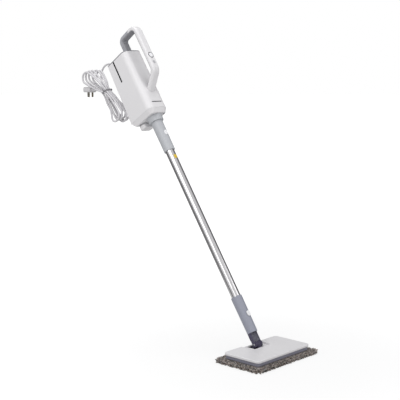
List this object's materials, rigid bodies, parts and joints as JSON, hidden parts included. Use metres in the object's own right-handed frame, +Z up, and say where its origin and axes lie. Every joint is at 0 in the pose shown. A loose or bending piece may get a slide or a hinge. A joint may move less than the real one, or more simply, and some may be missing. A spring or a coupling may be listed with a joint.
{
  "type": "steam mop",
  "caption": "Upright steam mop with a loop handle, slim metal tube, swivelling flat head with a pile pad, and a tied mains cord behind the body.",
  "frame": {"origin": "middle of the hand grip on the front limb of the loop handle", "axes": "+Z up, +Y towards the user (the pole leans back that way by 33.4 degrees), +X across the mop head; the head stands level, its pad's underside facing -Z"},
  "size_m": [0.298, 0.8936, 1.0235],
  "materials": {
    "pad_pile": "chenille pile, mottled grey brown",
    "hook_tape": "hook tape",
    "base_plastic": "slate moulded plastic",
    "white_plastic": "white moulded plastic, satin gloss",
    "light_grey": "light grey moulded plastic",
    "mid_grey": "mid grey moulded plastic",
    "joint_dark": "dark ribbed joint",
    "boot_rubber": "ribbed rubber",
    "tube_metal": "polished steel tube",
    "steel": "plain steel",
    "zinc_screw": "zinc plated",
    "sticker": "plain yellow film",
    "badge_dark": "plain dark dash",
    "window_dark": "smoked window",
    "button_white": "white button",
    "ring_dark": "dark ring",
    "steam_silver": "silver grey button",
    "tank_clear": "translucent tank plastic",
    "seal": "silicone seal",
    "cast_alloy": "die cast",
    "pump_plastic": "black nylon",
    "board_green": "circuit board",
    "hose": "silicone hose",
    "cord_grey": "pale grey cable jacket",
    "plug_grey": "moulded plug",
    "pin_brass": "plated pins",
    "tie": "cord tie"
  },
  "bodies": {
    "main_unit": {"upper_connector": "light_grey", "upper_spring": "steel", "neck_collar": "light_grey", "body_shell": "white_plastic", "level_window": "window_dark", "top_cover": "light_grey", "bottom_cover": "white_plastic", "casing_screws": "zinc_screw", "nose_badge": "badge_dark", "handle_inner_shell": "light_grey", "handle_back_shell": "light_grey", "handle_front_cover": "white_plastic", "control_ring": "ring_dark", "switch_board": "board_green", "water_tank": "tank_clear", "cap_seal": "seal", "boiler": "cast_alloy", "boiler_lid": "cast_alloy", "heating_element": "steel", "thermostat": "steel", "pump_shelf": "pump_plastic", "pump": "pump_plastic", "pump_hose": "hose", "inlet_hose": "hose", "steam_outlet": "steel", "control_board": "board_green", "cord_gland": "plug_grey", "cord_lead": "cord_grey", "cord_tail": "cord_grey", "cord_hank": "cord_grey", "cord_tie": "tie", "plug_body": "plug_grey", "plug_pins": "pin_brass"},
    "pole": {"main_tube": "tube_metal", "lower_plug": "joint_dark", "upper_plug": "joint_dark", "steam_pipe": "hose", "tube_sticker": "sticker"},
    "lower_joint": {"lower_connector": "mid_grey", "joint_fork": "joint_dark", "joint_boot": "boot_rubber", "lower_nozzle": "joint_dark", "lower_spring": "steel"},
    "knuckle": {"knuckle": "joint_dark", "pitch_pin": "steel"},
    "mop_head": {"mop_pad": "pad_pile", "pad_fastener": "hook_tape", "head_base": "base_plastic", "steam_plate": "cast_alloy", "top_plate": "white_plastic", "head_screws": "zinc_screw", "hinge_bracket": "joint_dark", "roll_pin": "steel"},
    "lower_button": {"lower_button": "button_white"},
    "upper_button": {"upper_button": "button_white"},
    "power_button": {"power_button": "button_white"},
    "steam_button": {"steam_button": "steam_silver"},
    "tank_cap": {"tank_cap": "white_plastic"}
  },
  "joints": [
    {"name": "tube_release", "type": "slide", "parent": "main_unit", "child": "pole", "axis": [0, -0.5505, -0.8348], "range_m": [0, 0.05]},
    {"name": "head_release", "type": "slide", "parent": "pole", "child": "lower_joint", "axis": [0, -0.5505, -0.8348], "range_m": [0, 0.05]},
    {"name": "head_pitch", "type": "hinge", "parent": "lower_joint", "child": "knuckle", "pos_m": [0, -0.48977, -0.91081], "axis": [1, 0, 0], "range_deg": [-33.4, 34]},
    {"name": "head_roll", "type": "hinge", "parent": "knuckle", "child": "mop_head", "pos_m": [0, -0.48977, -0.92041], "axis": [0, 1, 0], "range_deg": [-24, 24]},
    {"name": "lower_release_press", "type": "slide", "parent": "lower_joint", "child": "lower_button", "axis": [0, 0.8348, -0.5505], "range_m": [0, 0.0012], "stiffness_N_per_m": 600, "springref_m": -0.0015},
    {"name": "upper_release_press", "type": "slide", "parent": "main_unit", "child": "upper_button", "axis": [0, 0.8348, -0.5505], "range_m": [0, 0.0012], "stiffness_N_per_m": 600, "springref_m": -0.0015},
    {"name": "power_press", "type": "slide", "parent": "main_unit", "child": "power_button", "axis": [0, 0.8348, -0.5505], "range_m": [0, 0.0009], "stiffness_N_per_m": 500, "springref_m": -0.0015},
    {"name": "steam_press", "type": "slide", "parent": "main_unit", "child": "steam_button", "axis": [0, 0.8348, -0.5505], "range_m": [0, 0.0009], "stiffness_N_per_m": 500, "springref_m": -0.0015},
    {"name": "tank_cap_pull", "type": "slide", "parent": "main_unit", "child": "tank_cap", "axis": [0, -0.5505, -0.8348], "range_m": [0, 0.025]}
  ]
}
